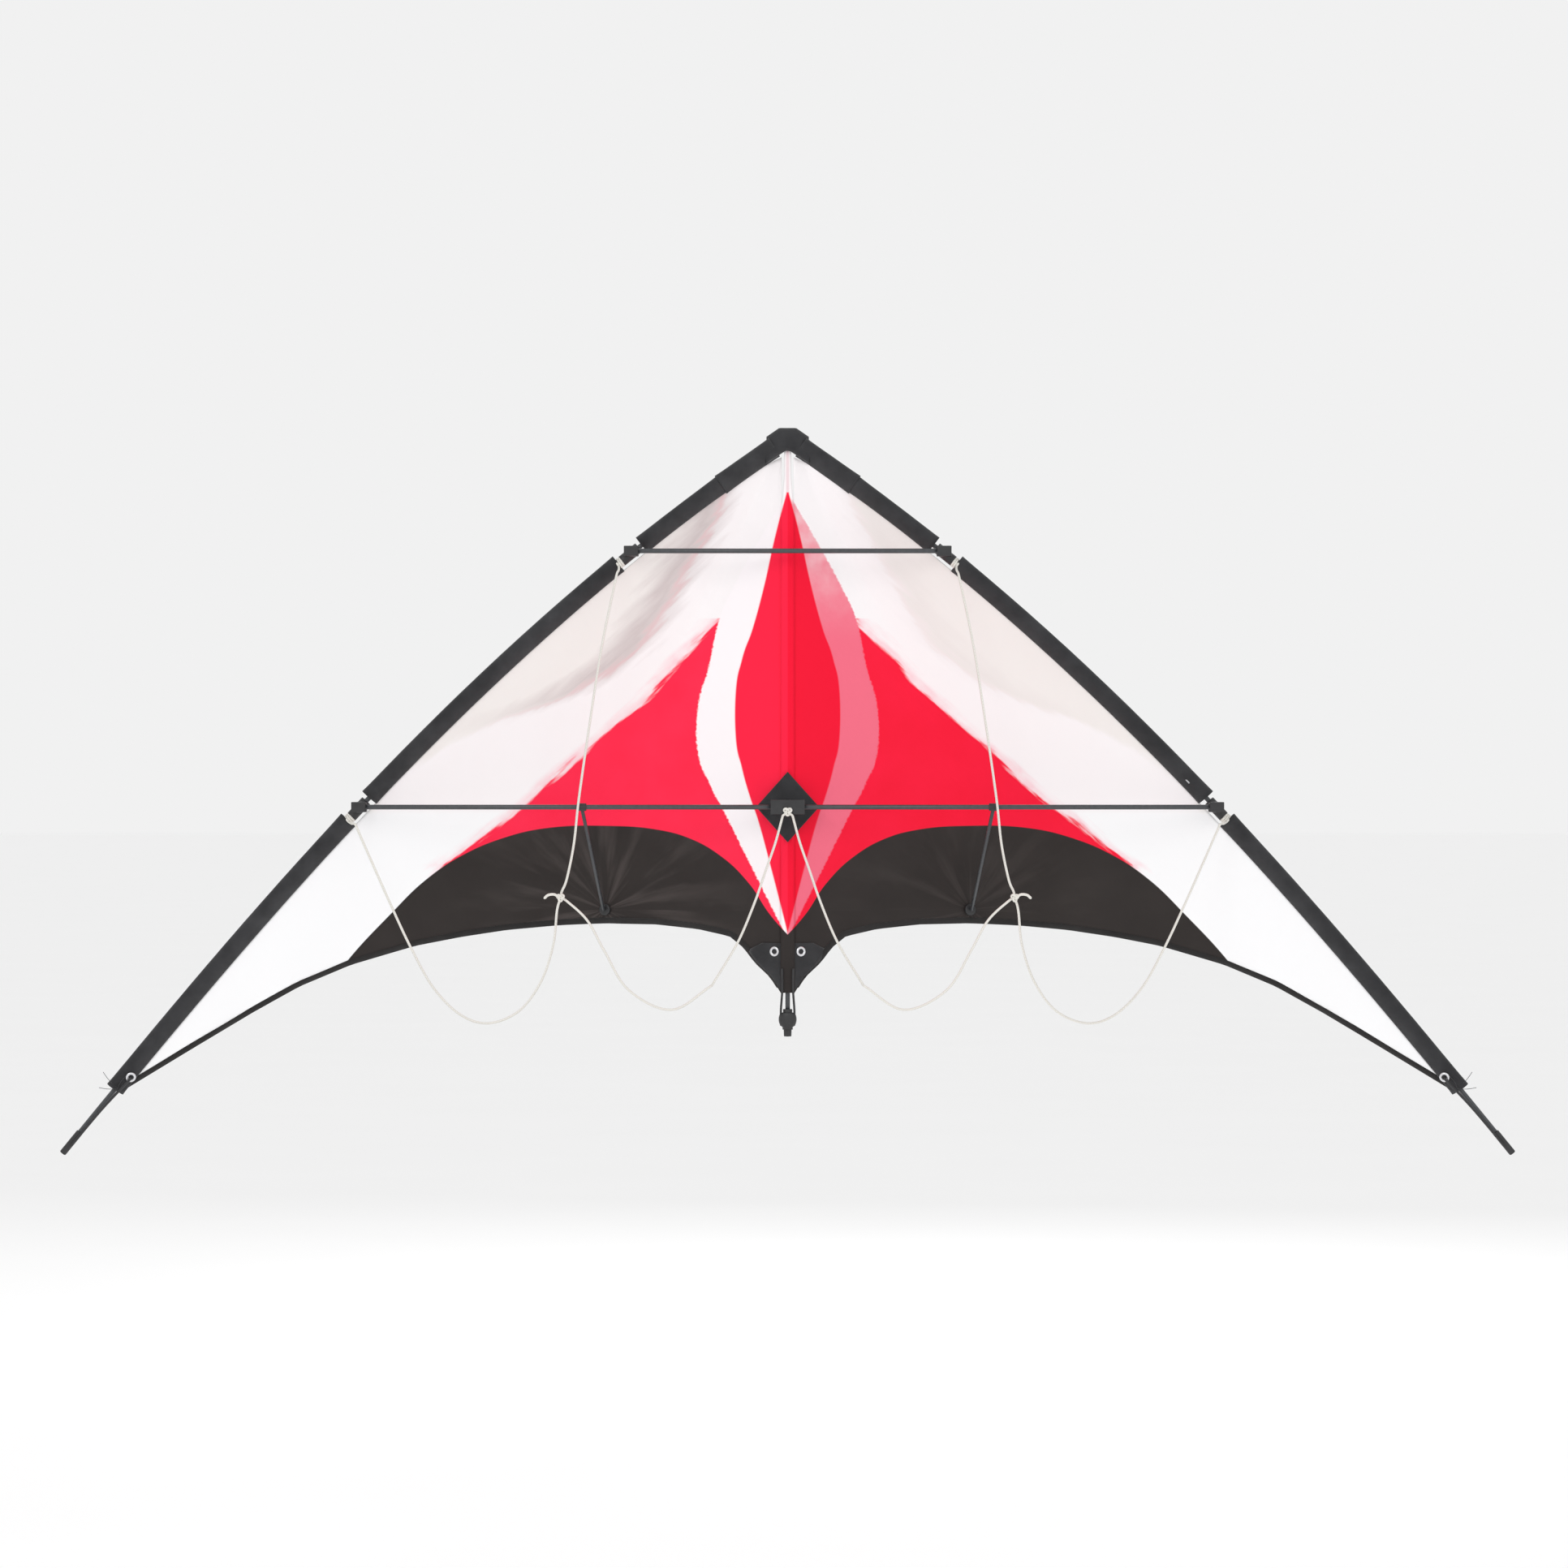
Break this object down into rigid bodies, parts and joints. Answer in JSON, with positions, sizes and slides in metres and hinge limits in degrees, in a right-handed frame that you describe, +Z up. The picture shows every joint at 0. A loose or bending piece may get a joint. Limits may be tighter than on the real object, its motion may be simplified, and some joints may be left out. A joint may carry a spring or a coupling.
{
  "type": "delta kite",
  "caption": "Swept delta sport kite for dual lines: panelled sail on a folding rod frame with spreaders, standoffs and a bridle.",
  "frame": {"origin": "middle of the flat top of the nose", "axes": "+X to the right seen from the front, +Y behind the sail, +Z up towards the nose"},
  "size_m": [1.203, 0.1064, 0.6001],
  "materials": {
    "sail": "thin ripstop polyester, printed",
    "black_cloth": "woven black polyester",
    "rod": "satin black glass-fibre rod",
    "vinyl": "soft black moulded vinyl",
    "metal": "nickel-plated",
    "cord": "braided white line"
  },
  "bodies": {
    "root": {"nose_block": "black_cloth", "spine_rod": "rod", "spine_cap": "vinyl", "spine_tape_upper": "sail", "spine_tape_lower": "sail", "centre_tee": "vinyl", "diamond_patch": "black_cloth", "tail_bungee_left": "vinyl", "tail_bungee_right": "vinyl"},
    "upper_spreader": {"upper_spreader": "rod"},
    "inner_panel_right": {"inner_sail_right": "sail", "standoff_foot_right": "vinyl", "tow_point_right": "cord", "bridle_upper_right": "cord", "bridle_outer_right": "cord", "bridle_centre_right": "cord"},
    "wing_right": {"outer_sail_right": "sail", "nose_cover_right": "black_cloth", "sleeve_upper_right": "black_cloth", "sleeve_middle_right": "black_cloth", "sleeve_lower_right": "black_cloth", "leading_edge_rod_upper_right": "rod", "leading_edge_rod_lower_right": "rod", "leading_edge_ferrule_right": "metal", "upper_connector_right": "vinyl", "lower_connector_right": "vinyl", "nock_right": "vinyl", "tip_bungee_right": "vinyl", "tip_grommet_right": "metal"},
    "lower_spreader_right": {"lower_spreader_right": "rod", "standoff_clip_right": "vinyl"},
    "standoff_right": {"standoff_rod_right": "rod"},
    "inner_panel_left": {"inner_sail_left": "sail", "standoff_foot_left": "vinyl", "tow_point_left": "cord", "bridle_upper_left": "cord", "bridle_outer_left": "cord", "bridle_centre_left": "cord"},
    "wing_left": {"outer_sail_left": "sail", "nose_cover_left": "black_cloth", "sleeve_upper_left": "black_cloth", "sleeve_middle_left": "black_cloth", "sleeve_lower_left": "black_cloth", "leading_edge_rod_upper_left": "rod", "leading_edge_rod_lower_left": "rod", "leading_edge_ferrule_left": "metal", "upper_connector_left": "vinyl", "lower_connector_left": "vinyl", "nock_left": "vinyl", "tip_bungee_left": "vinyl", "tip_grommet_left": "metal"},
    "lower_spreader_left": {"lower_spreader_left": "rod", "standoff_clip_left": "vinyl"},
    "standoff_left": {"standoff_rod_left": "rod"}
  },
  "joints": [
    {"name": "panel_fold_right", "type": "hinge", "parent": "root", "child": "inner_panel_right", "pos_m": [0.005, 0.001, -0.012], "axis": [0, 0, 1], "range_deg": [0, 60], "deforming": ["bridle_upper_right", "bridle_outer_right", "bridle_centre_right"]},
    {"name": "wing_fold_right", "type": "hinge", "parent": "inner_panel_right", "child": "wing_right", "pos_m": [0.005, 0.001, -0.012], "axis": [0.4179, 0.1774, -0.891], "range_deg": [0, 119.28]},
    {"name": "standoff_fold_right", "type": "hinge", "parent": "inner_panel_right", "child": "standoff_right", "pos_m": [0.15395, 0.0588, -0.398], "axis": [-0.4651, -0.7198, -0.5154], "range_deg": [0, 43.8]},
    {"name": "spreader_swing_right", "type": "hinge", "parent": "root", "child": "lower_spreader_right", "pos_m": [0.009, -0.016, -0.312], "axis": [0, 1, 0], "range_deg": [0, 85]},
    {"name": "panel_fold_left", "type": "hinge", "parent": "root", "child": "inner_panel_left", "pos_m": [-0.005, 0.001, -0.012], "axis": [0, 0, -1], "range_deg": [0, 60], "deforming": ["bridle_upper_left", "bridle_outer_left", "bridle_centre_left"]},
    {"name": "wing_fold_left", "type": "hinge", "parent": "inner_panel_left", "child": "wing_left", "pos_m": [-0.005, 0.001, -0.012], "axis": [0.4179, -0.1774, 0.891], "range_deg": [0, 119.28]},
    {"name": "standoff_fold_left", "type": "hinge", "parent": "inner_panel_left", "child": "standoff_left", "pos_m": [-0.15395, 0.0588, -0.398], "axis": [-0.4651, 0.7198, 0.5154], "range_deg": [0, 43.8]},
    {"name": "spreader_swing_left", "type": "hinge", "parent": "root", "child": "lower_spreader_left", "pos_m": [-0.009, -0.016, -0.312], "axis": [0, -1, 0], "range_deg": [0, 85]},
    {"name": "upper_spreader_swing", "type": "hinge", "parent": "root", "child": "upper_spreader", "pos_m": [-0.019, -0.016, -0.1213], "axis": [0, 1, 0], "range_deg": [0, 90]}
  ],
  "couplings": [
    {"joint": "wing_fold_right", "follows": "panel_fold_right", "ratio": 1.988},
    {"joint": "standoff_fold_right", "follows": "panel_fold_right", "ratio": 0.72999},
    {"joint": "spreader_swing_right", "follows": "panel_fold_right", "ratio": 1.4167},
    {"joint": "panel_fold_left", "follows": "panel_fold_right", "ratio": 0.99999},
    {"joint": "wing_fold_left", "follows": "panel_fold_right", "ratio": 1.988},
    {"joint": "standoff_fold_left", "follows": "panel_fold_right", "ratio": 0.72999},
    {"joint": "spreader_swing_left", "follows": "panel_fold_right", "ratio": 1.4167},
    {"joint": "upper_spreader_swing", "follows": "panel_fold_right", "ratio": 1.5}
  ]
}
